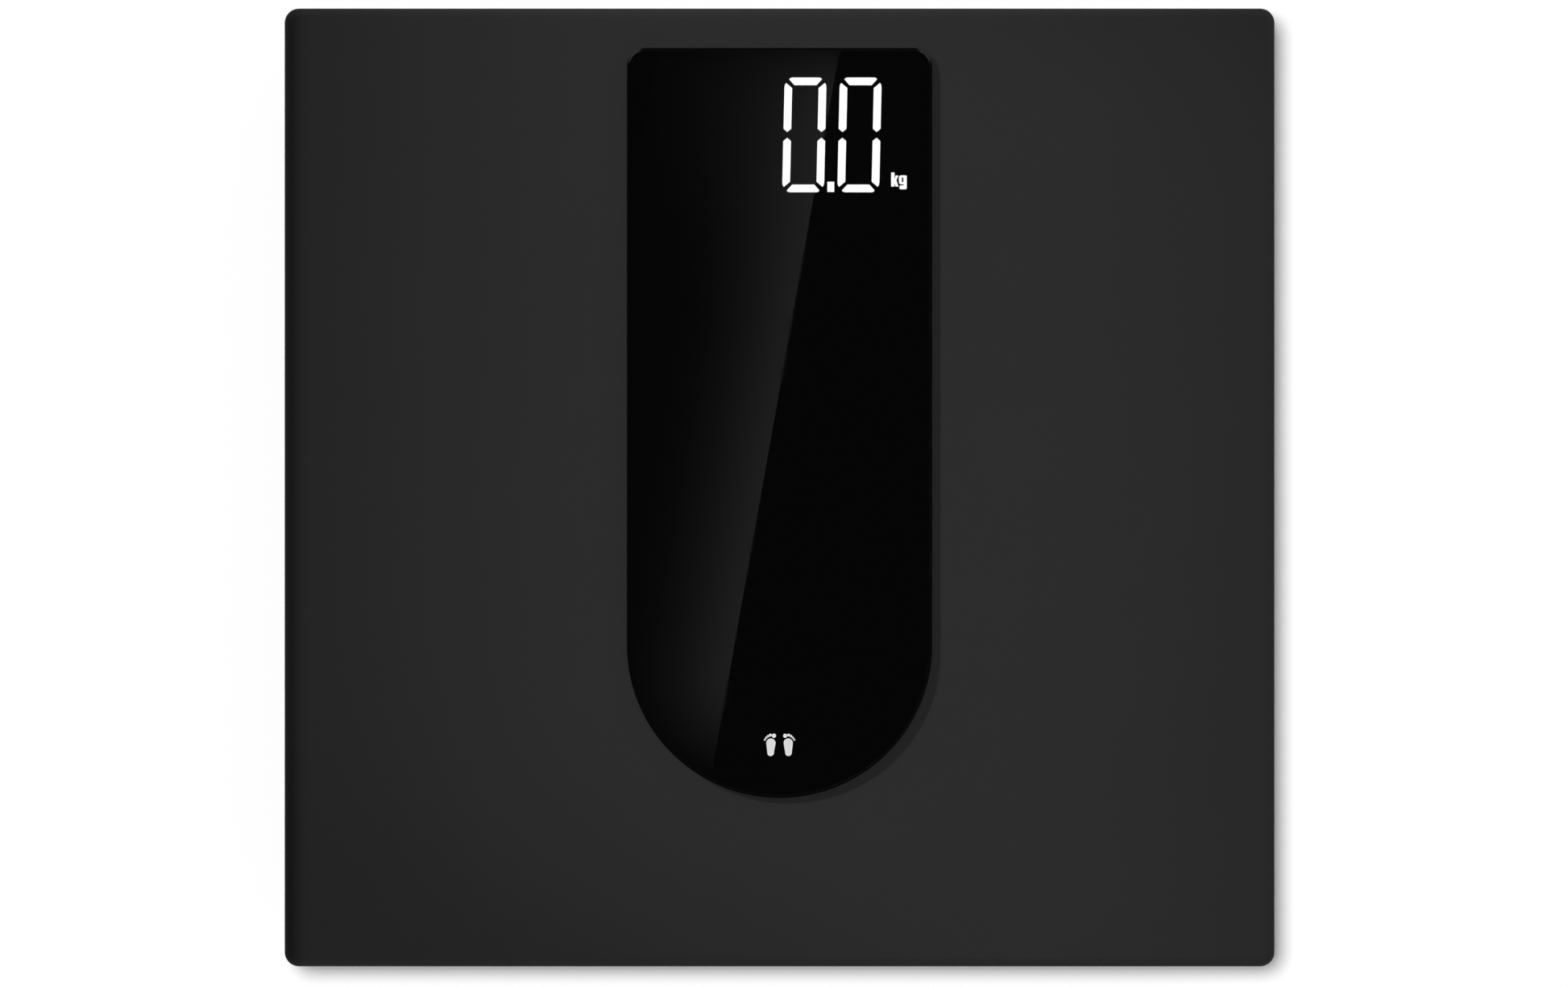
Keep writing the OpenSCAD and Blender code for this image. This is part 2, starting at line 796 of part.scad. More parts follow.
module contact_springs() {
    turns = 3.5;
    steps = 10;
    wire_r = 0.35;
    free = spring_l - 2 * wire_r;
    color("silver") for (row = [0:2]) {
        dir = row == 1 ? 1 : -1;
        helix = [for (k = [0:turns * steps]) let (t = k / (turns * steps), a = 360 * k / steps, r = 3.6 - 1.2 * t)
            [dir * (bay_x - contact_t - wire_r - 0.05 - (free - 0.1) * t), r * cos(a), r * sin(a)]];
        translate([0, door_y + (row - 1) * battery_pitch, battery_z]) tube(helix, wire_r, 6, [1, 0, 0]);
    }
}

// Two wires from the end contacts to the board's lower header
battery_lead_r = 0.7;
battery_lead_left = [[-25.2, -55.4, 20.2], [-25, -50, 20.6], [-25, -34, 20.7], [-22, -20, 20.6], [-13, -6, 20], [-5, 3, 18.8],
    [-2, 7.5, 18.2]];
battery_lead_right = [[25.2, -32.6, 20.2], [25, -28, 20.6], [22, -19, 20.6], [13, -5, 20], [5, 3, 18.8], [2, 7.5, 18.2]];

module battery_leads() {
    color("firebrick") for (route = [battery_lead_left, battery_lead_right])
        tube(smooth(route, 3), battery_lead_r, 8, [0, 0, 1]);
}

// ---------- feet, drawn about the centre of the front right one ----------

module foot_pad() {
    groove = [1.2, 0.6];
    grooves = [6, 10];
    color("#333333") rotate_extrude() difference() {
        square([pad_r, pad_t]);
        for (r = grooves) translate([r, -over]) square([groove[0], groove[1] + over]);
        polygon([[pad_r - 0.5, -0.01], [pad_r + 1, -0.01], [pad_r + 1, 1.5]]);
    }
}

module foot_cup() {
    rim_z = pad_t - 0.7;
    inner = foot_r - foot_wall;
    bevel = 0.8;
    color("#1b1b1c") {
        rotate_extrude() polygon([
            [0, pad_t], [pad_r + 0.3, pad_t], [pad_r + 0.3, rim_z], [foot_r - bevel, rim_z],
            [foot_r, rim_z + bevel], [foot_r, foot_top], [inner, foot_top], [inner, pad_t + 2],
            [post_pin_r, pad_t + 2], [post_pin_r, cell_z], [0, cell_z]
        ]);
        for (a = [45:90:315]) {
            rotate(a - 8) rotate_extrude(angle = 16) {
                translate([inner + lug_step, foot_top - over])
                    square([foot_wall - 2 * lug_step, deck_z + lug_gap - foot_top + over]);
                translate([inner + lug_step, deck_z + lug_gap]) square([foot_wall - lug_step + lug_reach, lug_h]);
            }
        }
    }
}

// Steel plate: an outer frame and a tongue that the foot's post pushes up
module load_cell() {
    slot = 1.8;
    tongue = 20;
    neck = 11;
    color("lightsteelblue") translate([0, 0, cell_z]) linear_extrude(cell_t) difference() {
        rounded(-cell_side / 2, -cell_side / 2, cell_side, cell_side, 3);
        difference() {
            square(tongue + 2 * slot, center = true);
            square(tongue, center = true);
            translate([-neck / 2, -tongue]) square([neck, tongue]);
        }
        for (s = [-1, 1]) translate([s * 14.5, 14.5]) circle(1);
    }
}

module cell_holder() {
    pocket = cell_side + 0.8;
    relief = 24;
    outer = holder_side / 2;
    color("whitesmoke") difference() {
        union() {
            slab(0, 0, holder_side, holder_side, deck_z, holder_top);
            for (s = [-1, 1])
                slab(ear_x + 2.25, s * ear_y, ear_w + 4.5, ear_w, relief_z, relief_z + ear_t);
        }
        slab(0, 0, pocket, pocket, deck_z - over, relief_z);
        slab(0, 0, relief, relief, relief_z - over, relief_z + 2.2);
        slab(-outer, 0, holder_side - 8, 4, relief_z - over, relief_z + 2.2);
        for (s = [-1, 1]) rod(ear_x, s * ear_y, small_screw_r + screw_play, relief_z - over, holder_top);
    }
}

module strain_gauge() {
    slab(0, -8, 8, 4, relief_z, relief_z + 0.6);
}

module holder_screw_pair() {
    for (s = [-1, 1]) screw([ear_x, s * ear_y], relief_z + ear_t, -1, small_screw_r, small_head, 5);
}

module strain_gauges() {
    color("white") for (c = CORNERS) at_corner(c) strain_gauge();
}

module holder_screws() {
    color("silver") for (c = CORNERS) at_corner(c) holder_screw_pair();
}

// Routes of the leads on the right-hand side, from a load cell to the main board
cell_lead_r = 0.9;
front_lead = [[114, 116, 12.3], [104, 116, 12.3], [96, 115, 12.1], [86, 108, 11.5], [80, 90, 11.5],
    [76, 60, 11.5], [66, 44, 11.6], [52, 38, 13.5], [44, 38, 17], [38.6, 38, 18]];
back_lead = [[114, -116, 12.3], [104, -116, 12.3], [96, -115, 12.1], [86, -106, 11.5], [80, -80, 11.5],
    [74, -40, 11.5], [68, -8, 11.5], [60, 12, 11.8], [50, 20, 14], [44, 22, 17], [38.6, 22, 18]];

module cell_lead(c) {
    route = c[2] > 0 ? front_lead : back_lead;
    color("dimgray") mirror([c[1] < 0 ? 1 : 0, 0, 0]) tube(smooth(route, 2), cell_lead_r, 8, [0, 0, 1]);
}

// ---------- drawing ----------

tread_plate();
plate_standoffs();
stiffener_left();
stiffener_right();
panel_tape();
panel_backing();
display_panel();
panel_symbol();
base_tray();
tray_screws();
rating_label();
display_housing();
digit_ones();
digit_tenths();
decimal_point();
unit_symbol();
unlit_segments();
display_board();
display_leds();
display_header();
display_screws();
ribbon_cable();
main_board();
controller_chip();
board_components();
board_headers();
board_screws();
unit_switch();
switch_plunger();
unit_button();
battery_door();
battery_1();
battery_2();
battery_3();
contact_plates();
contact_springs();
battery_leads();
for (c = CORNERS) {
    at_corner(c) foot_pad();
    at_corner(c) foot_cup();
    at_corner(c) load_cell();
    at_corner(c) cell_holder();
    cell_lead(c);
}
strain_gauges();
holder_screws();
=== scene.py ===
import json
import math

import bmesh
import bpy
from mathutils import Matrix, Vector

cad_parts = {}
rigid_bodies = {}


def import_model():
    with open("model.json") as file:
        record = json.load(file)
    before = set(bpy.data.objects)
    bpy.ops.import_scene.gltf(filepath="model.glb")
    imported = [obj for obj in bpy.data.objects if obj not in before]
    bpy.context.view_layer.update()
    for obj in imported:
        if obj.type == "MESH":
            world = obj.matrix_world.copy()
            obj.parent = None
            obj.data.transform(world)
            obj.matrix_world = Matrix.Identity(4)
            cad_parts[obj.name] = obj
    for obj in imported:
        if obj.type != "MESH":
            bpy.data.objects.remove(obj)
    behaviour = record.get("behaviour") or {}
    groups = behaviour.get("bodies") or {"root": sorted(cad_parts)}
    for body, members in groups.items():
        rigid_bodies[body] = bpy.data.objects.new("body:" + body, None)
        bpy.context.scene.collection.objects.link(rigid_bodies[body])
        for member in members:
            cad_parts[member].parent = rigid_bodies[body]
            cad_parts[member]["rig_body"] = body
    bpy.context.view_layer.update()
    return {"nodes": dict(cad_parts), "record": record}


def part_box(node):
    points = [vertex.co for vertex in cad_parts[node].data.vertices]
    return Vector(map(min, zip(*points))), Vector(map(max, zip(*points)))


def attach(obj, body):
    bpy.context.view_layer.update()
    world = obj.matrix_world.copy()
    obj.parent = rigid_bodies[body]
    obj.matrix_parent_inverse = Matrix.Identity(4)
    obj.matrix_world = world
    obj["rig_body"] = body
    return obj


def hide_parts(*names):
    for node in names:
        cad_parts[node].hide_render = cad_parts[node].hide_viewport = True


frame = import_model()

MM = 0.001
NODES = frame["nodes"]
CORNERS = ("front_left", "front_right", "back_left", "back_right")
QUADRANTS = ((1, 1), (-1, 1), (-1, -1), (1, -1))
WHITE = (1, 1, 1, 1)
scene = bpy.context.scene


# ---------- materials ----------

class Nodes:
    """A node tree, with short ways to add nodes and feed their sockets."""

    def __init__(self, tree):
        self.tree = tree

    def feed(self, socket, value):
        if isinstance(value, bpy.types.NodeSocket):
            self.tree.links.new(value, socket)
        else:
            socket.default_value = value

    def node(self, kind, **inputs):
        made = self.tree.nodes.new(kind)
        for name, value in inputs.items():
            self.feed(made.inputs[name.replace("_", " ")], value)
        return made

    def attribute(self, name):
        made = self.node("ShaderNodeAttribute")
        made.attribute_name = name
        return made.outputs["Fac"]

    def math(self, operation, *values):
        made = self.node("ShaderNodeMath")
        made.operation = operation
        for socket, value in zip(made.inputs, values):
            self.feed(socket, value)
        return made.outputs["Value"]

    def remap(self, value, low, high, start=0.3, end=0.7, kind="LINEAR"):
        """Maps start..end, or else most of a noise's range, onto low..high, and holds the value outside."""
        made = self.node("ShaderNodeMapRange", Value=value)
        made.interpolation_type = kind
        for socket, number in zip(("From Min", "From Max", "To Min", "To Max"), (start, end, low, high)):
            made.inputs[socket].default_value = number
        return made.outputs["Result"]


class Finish(Nodes):
    """A Principled material whose colour, roughness and bump vary with procedural noise in object space."""

    def __init__(self, name, **sockets):
        self.material = bpy.data.materials.new(name)
        self.material.use_nodes = True
        super().__init__(self.material.node_tree)
        self.shader = self.tree.nodes["Principled BSDF"]
        self.coords = self.node("ShaderNodeTexCoord").outputs["Object"]
        self.relief = None
        for socket, value in sockets.items():
            self.shader.inputs[socket.replace("_", " ")].default_value = value

    def noise(self, size, detail=3.0, stretch=None):
        place = self.coords
        if stretch:
            place = self.node("ShaderNodeMapping", Vector=place, Scale=stretch).outputs["Vector"]
        return self.node("ShaderNodeTexNoise", Vector=place, Scale=1 / size, Detail=detail).outputs["Fac"]

    def mix(self, factor, a, b):
        made = self.node("ShaderNodeMix")
        made.data_type = "RGBA"
        for socket, value in zip((made.inputs["Factor"], made.inputs[6], made.inputs[7]), (factor, a, b)):
            self.feed(socket, value)
        return made.outputs[2]

    def colour(self, value):
        self.feed(self.shader.inputs["Base Color"], value)

    def roughness(self, value):
        self.feed(self.shader.inputs["Roughness"], value)

    def bump(self, value, depth, strength=1.0):
        made = self.node("ShaderNodeBump", Height=value, Distance=depth, Strength=strength)
        if self.relief:
            self.feed(made.inputs["Normal"], self.relief)
        self.relief = made.outputs["Normal"]
        self.feed(self.shader.inputs["Normal"], self.relief)


def shade(colour, factor):
    return [min(1.0, c * factor) for c in colour] + [1.0]


def plain(name, colour, rough, grain=0.4, depth=0.02, broad=18, tint=0.08, spread=0.06, wear_and_shade_tone=None,
          **sockets):
    """Colour that drifts by tint over broad mm, roughness that drifts by spread, and a grain depth mm high.

    worn, if given, is how bright the edges are beside the rest: above 1 it lightens rubbed edges, below 1
    it darkens the edges as painted shade.
    """
    made = Finish(name, **sockets)
    drift = made.noise(broad * MM, detail=4.0)
    tone = made.mix(drift, shade(colour, 1 - tint), shade(colour, 1 + tint))
    level = made.remap(made.noise(0.35 * broad * MM, detail=5.0), rough - spread, rough + spread)
    # Above 1 this lightens rubbed edges; below 1 it darkens the edges as painted shade, in patches.
    if wear_and_shade_tone:
        patchy = made.remap(made.noise(1.3 * MM, detail=5.0), 0.15, 1.0)
        rub_and_shade = made.math("MULTIPLY", made.attribute("edge"), patchy)
        tone = made.mix(rub_and_shade, tone, shade(colour, wear_and_shade_tone))
        level = made.math("SUBTRACT", level, made.math("MULTIPLY", rub_and_shade, 0.12))
    made.colour(tone)
    made.roughness(level)
    made.bump(made.noise(grain * MM, detail=2.0), depth * MM)
    return made


def brushed(name, colour, rough, stretch=(1, 1, 14)):
    """Bare metal with fine streaks across the axes that stretch packs tightly."""
    made = Finish(name, Metallic=1.0)
    streaks = made.noise(0.9 * MM, detail=6.0, stretch=stretch)
    made.colour(made.mix(streaks, shade(colour, 0.82), shade(colour, 1.08)))
    made.roughness(made.remap(streaks, rough - 0.1, rough + 0.12))
    made.bump(streaks, 0.01 * MM)
    return made


def powder_coat():
    """The platform's matte coat, with scattered specks over its grain, and painted shade that darkens its
    rolled edges and hem in patches.
    """
    # The edge tone of 0.85 darkens the rolled edges and hem: painted shade.
    made = plain("powder_coat", (0.0300, 0.0300, 0.0308), 0.56, grain=0.42, depth=0.05, broad=38, tint=0.03,
                 spread=0.015, wear_and_shade_tone=0.85, Specular_IOR_Level=0.2)
    specks = made.remap(made.noise(1.6 * MM, detail=6.0), 0.0, 1.0, start=0.66, end=0.74)
    made.bump(specks, 0.01 * MM, strength=0.4)
    return made


def smoked_acrylic():
    """The panel: dark clear plastic, polished, with faint smears and hairlines in its gloss."""
    made = Finish("smoked_acrylic", IOR=1.49, Transmission_Weight=1.0)
    clouds = made.noise(45 * MM, detail=2.0)
    made.colour(made.mix(clouds, (0.118, 0.118, 0.122, 1), (0.124, 0.124, 0.127, 1)))
    smears = made.remap(made.noise(16 * MM, detail=5.0), 0.0, 0.03, start=0.45, end=0.75)
    hairlines = made.remap(made.noise(0.5 * MM, stretch=(0.04, 1, 1)), 0.0, 0.02, start=0.62, end=0.8)
    made.roughness(made.math("ADD", smears, hairlines))
    return made


def lit_diffuser():
    """The lit bars, bright enough to show white through the smoked panel."""
    made = Finish("lit_diffuser", Emission_Strength=9.0)
    made.colour((0.9, 0.9, 0.9, 1))
    made.feed(made.shader.inputs["Emission Color"], made.mix(made.noise(4 * MM), (0.97, 0.98, 1, 1), WHITE))
    made.roughness(made.remap(made.noise(1 * MM), 0.4, 0.6))
    made.bump(made.noise(0.3 * MM), 0.005 * MM)
    return made


SLOT_FINISH = {
    "platform_paint": powder_coat(),
    "panel_acrylic": smoked_acrylic(),
    "panel_film": plain("black_film", (0.006, 0.006, 0.006), 0.22, grain=0.6, depth=0.004, tint=0.2,
                        spread=0.05),
    "adhesive": plain("foam_adhesive", (0.05, 0.05, 0.05), 0.85, grain=0.5, depth=0.06, tint=0.2),
    "symbol_white": plain("white_print", (0.86, 0.86, 0.86), 0.38, grain=0.25, depth=0.004, broad=3,
                          tint=0.02, spread=0.04),
    "display_black": plain("display_black", (0.006, 0.006, 0.006), 0.7, grain=0.3, depth=0.01, tint=0.2),
    "display_lit": lit_diffuser(),
    "display_unlit": plain("unlit_diffuser", (0.010, 0.010, 0.011), 0.5, grain=0.3, depth=0.005, tint=0.1),
    "tray_plastic": plain("moulded_tray", (0.022, 0.022, 0.023), 0.5, grain=0.55, depth=0.045, broad=30,
                          tint=0.07, spread=0.07, wear_and_shade_tone=1.7, Specular_IOR_Level=0.35),
    "foot_rubber": plain("foot_rubber", (0.030, 0.030, 0.030), 0.78, grain=0.35, depth=0.03, broad=8,
                         tint=0.14, spread=0.07, wear_and_shade_tone=1.8, Specular_IOR_Level=0.3),
    "formed_steel": brushed("formed_steel", (0.55, 0.56, 0.57), 0.36),
    "screw_steel": brushed("zinc_screw", (0.62, 0.62, 0.63), 0.26, stretch=(6, 6, 1)),
    "contact_nickel": brushed("nickel_contact", (0.70, 0.69, 0.66), 0.24),
    "holder_plastic": plain("natural_moulding", (0.74, 0.73, 0.69), 0.5, grain=0.5, tint=0.03),
    "board_green": plain("solder_mask", (0.020, 0.130, 0.055), 0.32, grain=0.9, depth=0.012, broad=6,
                         tint=0.2),
    "header_plastic": plain("connector_shell", (0.76, 0.72, 0.60), 0.45, depth=0.01, tint=0.04),
    "chip_black": plain("chip_epoxy", (0.02, 0.02, 0.02), 0.6, grain=0.2, depth=0.012, broad=4),
    "component_tan": plain("lacquered_part", (0.45, 0.33, 0.18), 0.3, grain=0.3, depth=0.01, broad=3,
                           tint=0.12),
    "lamp_white": plain("phosphor", (0.80, 0.78, 0.55), 0.4, grain=0.2, depth=0.006, broad=2, tint=0.05),
    "gauge_white": plain("silicone_pot", (0.80, 0.80, 0.78), 0.55, grain=1.2, depth=0.05, broad=4,
                         tint=0.04),
    "lead_grey": plain("grey_sleeve", (0.09, 0.09, 0.09), 0.6, grain=0.3, broad=5),
    "lead_red": plain("red_insulation", (0.45, 0.03, 0.03), 0.45, grain=0.3, depth=0.01, broad=5),
    "ribbon_grey": plain("ribbon_pvc", (0.50, 0.50, 0.50), 0.5, depth=0.01, broad=5),
    "battery_can": plain("cell_jacket", (0.50, 0.34, 0.08), 0.32, grain=0.7, depth=0.008, broad=9,
                         tint=0.1),
    "label_silver": plain("blank_label", (0.60, 0.60, 0.60), 0.35, grain=0.5, depth=0.01, broad=12,
                          tint=0.03),
    "button_grey": plain("button_moulding", (0.16, 0.16, 0.17), 0.48, grain=0.35, broad=4, tint=0.06,
                         wear_and_shade_tone=1.4),
}
NODE_SLOT = {subpart["node"]: subpart["material_slot"] for subpart in frame["record"]["subparts"]}
for name, node in NODES.items():
    for material_slot in node.material_slots:
        material_slot.material = SLOT_FINISH[NODE_SLOT[name]].material


# ---------- ways to make a piece ----------

def piece(name, mesh, node):
    """Adds a mesh as a piece that stands for a CAD node, with that node's finish and body."""
    made = bpy.data.objects.new(name, mesh)
    scene.collection.objects.link(made)
    mesh.materials.append(SLOT_FINISH[NODE_SLOT[node]].material)
    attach(made, NODES[node]["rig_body"])
    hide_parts(node)
    return made


def mesh_of(name, points, faces, smooth=True, **attributes):
    """A mesh with its faces turned outwards; each attribute holds one number per point."""
    mesh = bpy.data.meshes.new(name)
    mesh.from_pydata(points, [], faces)
    mesh.validate()
    work = bmesh.new()
    work.from_mesh(mesh)
    bmesh.ops.recalc_face_normals(work, faces=work.faces)
    work.to_mesh(mesh)
    work.free()
    for attribute, values in attributes.items():
        mesh.attributes.new(attribute, "FLOAT", "POINT").data.foreach_set("value", values)
    if smooth:
        mesh.shade_smooth()
    return mesh


def weighted(made):
    """Smooth shading that keeps flat faces flat beside their rounded edges."""
    normals = made.modifiers.new("flat_faces", "WEIGHTED_NORMAL")
    normals.keep_sharp = True
    normals.weight = 100
    return made


def quarter(steps):
    """Angles from 0 to 90 degrees, in radians."""
    return [math.radians(90 * k / steps) for k in range(steps + 1)]


def arc(centre, radius, start, end, steps):
    """Points of an arc in a plane, angles in degrees."""
    angles = [math.radians(start + (end - start) * k / steps) for k in range(steps + 1)]
    return [(centre[0] + radius * math.cos(a), centre[1] + radius * math.sin(a)) for a in angles]


def loop_points(arcs, inset, z):
    """A closed outline of arcs (centre x, centre y, radius, start, end, steps), moved inwards by inset."""
    least_radius = 0.01 * MM
    return [(x, y, z) for cx, cy, radius, start, end, steps in arcs
            for x, y in arc((cx, cy), max(radius - inset, least_radius), start, end, steps)]


def rings_mesh(name, rings, edge, capped=False):
    """Skins a list of equally long point rings; edge holds one value per ring, for lightened rubbed edges
    on some finishes and painted edge shade on the platform's coat.
    """
    count = len(rings[0])
    sides = [(k, (k + 1) % count) for k in range(count)]
    faces = [(a + k, a + after, a + count + after, a + count + k)
             for a in range(0, (len(rings) - 1) * count, count) for k, after in sides]
    if capped:
        faces.append(tuple(range(count))[::-1])
        faces.append(tuple(range((len(rings) - 1) * count, len(rings) * count)))
    return mesh_of(name, [point for ring in rings for point in ring], faces,
                   edge=[wear_and_edge_shade for wear_and_edge_shade, ring in zip(edge, rings) for _ in ring])


def lathe(name, profile, centre, edge, steps=96):
    """A turned piece about an upright axis; profile holds (radius, height) pairs from axis to axis."""
    turns = [math.tau * k / steps for k in range(steps)]
    rings = [[(centre[0] + r * math.cos(a), centre[1] + r * math.sin(a), z) for a in turns]
             for r, z in profile]
    return rings_mesh(name, rings, edge, capped=True)


def rounded_profile(corners, steps=5):
    """Points of a section whose corners (r, z, rounding) are rounded off, with an edge value for each."""
    points, wear_and_edge_shade = [], []
    for k, (r, z, rounding) in enumerate(corners):
        here = Vector((r, z))
        if not rounding:
            points.append((r, z))
            wear_and_edge_shade.append(0.0)
            continue
        before = (Vector(corners[k - 1][:2]) - here).normalized()
        after = (Vector(corners[k + 1][:2]) - here).normalized()
        for s in range(steps + 1):
            t = s / steps
            points.append(tuple(here + before * rounding * (1 - t) ** 2 + after * rounding * t ** 2))
            wear_and_edge_shade.append(math.sin(math.pi * t))
    return points, wear_and_edge_shade


def refined(name, node, width):
    """A copy of a CAD node with its sharp edges rounded over width, which stands for the node."""
    mesh = NODES[node].data.copy()
    mesh.materials.clear()
    work = bmesh.new()
    work.from_mesh(mesh)
    bmesh.ops.remove_doubles(work, verts=work.verts, dist=0.004 * MM)
    bmesh.ops.dissolve_limit(work, angle_limit=math.radians(0.6), verts=work.verts, edges=work.edges)
    work.to_mesh(mesh)
    work.free()
    mesh.shade_smooth()
    made = piece(name, mesh, node)
    bevel = made.modifiers.new("rounded_edges", "BEVEL")
    bevel.width = width
    bevel.segments = 2
    bevel.limit_method = "ANGLE"
    bevel.angle_limit = math.radians(28)
    weighted(made)


# ---------- pieces ----------

def platform_section(low_z, high_z, sheet, roll, hem):
    """The sheet's section as (inset, height, edge value): down its inside, round the hem, up over the roll.
    """
    roll_z = high_z - roll
    inner_roll = roll - sheet
    section = [(roll - inner_roll * math.cos(a), roll_z + inner_roll * math.sin(a), 0.0)
               for a in reversed(quarter(10))]
    # The hem and the roll carry edge values that the coat turns into painted shade.
    section += [(sheet - hem * (1 - math.cos(a)), low_z + hem * (1 - math.sin(a)), 0.3)
                for a in quarter(4)]
    section += [(hem * (1 - math.cos(a)), low_z + hem * (1 - math.sin(a)), 0.8)
                for a in reversed(quarter(4))]
    section += [(roll * (1 - math.cos(a)), roll_z + roll * math.sin(a), 0.55 * math.sin(2 * a))
                for a in quarter(14)]
    return section


def cut_window(mesh, count, steps, outer_z, inner_z):
    """Closes the sheet's top and underside around the window that the display looks through."""
    window_x, window_y, window_w, window_d = 3 * MM, 110.25 * MM, 82 * MM, 46.4 * MM
    hole = [(window_x + sx * window_w / 2, window_y + sy * window_d / 2) for sx, sy in QUADRANTS]
    work = bmesh.new()
    work.from_mesh(mesh)
    work.verts.ensure_lookup_table()
    shell = list(work.verts)
    lips = []
    for ring, z in ((shell[-count:], outer_z), (shell[:count], inner_z)):
        lip = [work.verts.new((x, y, z)) for x, y in hole]
        lips.append(lip)
        for q in range(4):
            first = q * (steps + 1)
            last = first + steps
            for k in range(first, last):
                work.faces.new((ring[k], ring[k + 1], lip[q]))
            work.faces.new((ring[last], ring[(last + 1) % count], lip[(q + 1) % 4], lip[q]))
    for q in range(4):
        work.faces.new((lips[0][q], lips[0][(q + 1) % 4], lips[1][(q + 1) % 4], lips[1][q]))
    bmesh.ops.recalc_face_normals(work, faces=work.faces)
    work.to_mesh(mesh)
    work.free()
    mesh.shade_smooth()
    first_of_lips = len(mesh.vertices) - 8
    for side in mesh.edges:
        if min(side.vertices) >= first_of_lips:
            side.use_edge_sharp = True


def make_platform():
    """The formed steel platform: hem, skirt, rolled edge and top, with the window cut through it."""
    low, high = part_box("tread_plate")
    corner, sheet, corner_steps = 4.5 * MM, 1.0 * MM, 10
    reach_x, reach_y = high.x - corner, high.y - corner
    outline = [(sx * reach_x, sy * reach_y, corner, 90 * q, 90 * (q + 1), corner_steps)
               for q, (sx, sy) in enumerate(QUADRANTS)]
    section = platform_section(low.z, high.z, sheet, roll=3.5 * MM, hem=0.35 * MM)
    rings = [loop_points(outline, inset, z) for inset, z, _ in section]
    # The edge values become painted shade along the rolled edge and the hem.
    mesh = rings_mesh("platform_sheet", rings, [wear_and_edge_shade for _, _, wear_and_edge_shade in section])
    cut_window(mesh, len(rings[0]), corner_steps, high.z, high.z - sheet)
    weighted(piece("platform_sheet", mesh, "tread_plate"))


def make_panel():
    """The glossy panel: flat bottom, straight sides, polished chamfer with soft arrises, and flat top."""
    low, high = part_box("display_panel")
    half = high.x
    corner, chamfer, arris = 6 * MM, 0.8 * MM, 0.09 * MM
    print_proud = 0.012 * MM
    inside = 0.8 * corner
    top = high.z - print_proud
    outline = [(half - corner, high.y - corner, corner, 0, 90, 24),
               (corner - half, high.y - corner, corner, 90, 180, 24),
               (0, low.y + half, half, 180, 360, 160)]
    section, wear_and_edge_shade = rounded_profile([(inside, low.z, 0), (0, low.z, arris), (0, top - chamfer, arris),
                                     (chamfer, top, arris), (inside, top, 0)], steps=4)
    rings = [loop_points(outline, inset, z) for inset, z in section]
    mesh = rings_mesh("display_panel_glossy", rings, wear_and_edge_shade, capped=True)
    weighted(piece("display_panel_glossy", mesh, "display_panel"))


def make_foot(corner):
    """A grooved rubber pad, turned, and the cup that holds it."""
    cup_low, cup_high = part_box("foot_cup_" + corner)
    pad_low, pad_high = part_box("foot_pad_" + corner)
    centre = (cup_low + cup_high) / 2
    radius = (pad_high.x - pad_low.x) / 2
    sole = pad_low.z
    axis = 0.0001 * MM
    dimple, dimple_depth, dimple_round = 1.6 * MM, 0.25 * MM, 0.1 * MM
    groove_depth, groove_round = 0.6 * MM, 0.12 * MM
    rim, rim_height, rim_round = 0.8 * MM, 0.9 * MM, 0.25 * MM
    section = [(axis, sole + dimple_depth, 0), (dimple, sole + dimple_depth, dimple_round),
               (dimple + 0.3 * MM, sole, dimple_round)]
    for inner, outer in ((3.2 * MM, 4.2 * MM), (6 * MM, 7.2 * MM), (10 * MM, 11.2 * MM)):
        section += [(inner, sole, groove_round), (inner, sole + groove_depth, groove_round),
                    (outer, sole + groove_depth, groove_round), (outer, sole, groove_round)]
    section += [(radius - rim, sole, rim_round), (radius, sole + rim_height, rim_round),
                (radius, pad_high.z, 0), (axis, pad_high.z, 0)]
    profile, wear_and_edge_shade = rounded_profile(section)
    pad = "rubber_pad_" + corner
    weighted(piece(pad, lathe(pad, profile, centre, wear_and_edge_shade), "foot_pad_" + corner))
    refined("foot_cup_soft_" + corner, "foot_cup_" + corner, 0.25 * MM)


make_platform()
make_panel()
for corner in CORNERS:
    make_foot(corner)
refined("tray_moulding", "base_tray", 0.3 * MM)
refined("battery_door_moulding", "battery_door", 0.2 * MM)
refined("unit_button_moulding", "unit_button", 0.25 * MM)

object_pieces = bpy.data.collections.new("object_pieces")
for thing in list(scene.collection.objects):
    if thing.type == "MESH":
        object_pieces.objects.link(thing)


# ---------- camera ----------

PLATE_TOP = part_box("tread_plate")[1].z
PANEL_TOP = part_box("display_panel")[1].z
LENS, SENSOR = 220, 36
FRAME_WIDTH = 490.5 * MM
CAMERA_PLACE = Vector((1.39 * MM, -1.89 * MM, PLATE_TOP + FRAME_WIDTH * LENS / SENSOR))

camera = bpy.data.cameras.new("camera")
camera.lens = LENS
camera.sensor_width = SENSOR
camera.clip_start = 0.1
camera.clip_end = 60
camera_object = bpy.data.objects.new("camera", camera)
camera_object.location = CAMERA_PLACE
scene.collection.objects.link(camera_object)
scene.camera = camera_object
scene.view_settings.view_transform = "Standard"
scene.view_settings.look = "None"


# ---------- stage and light ----------

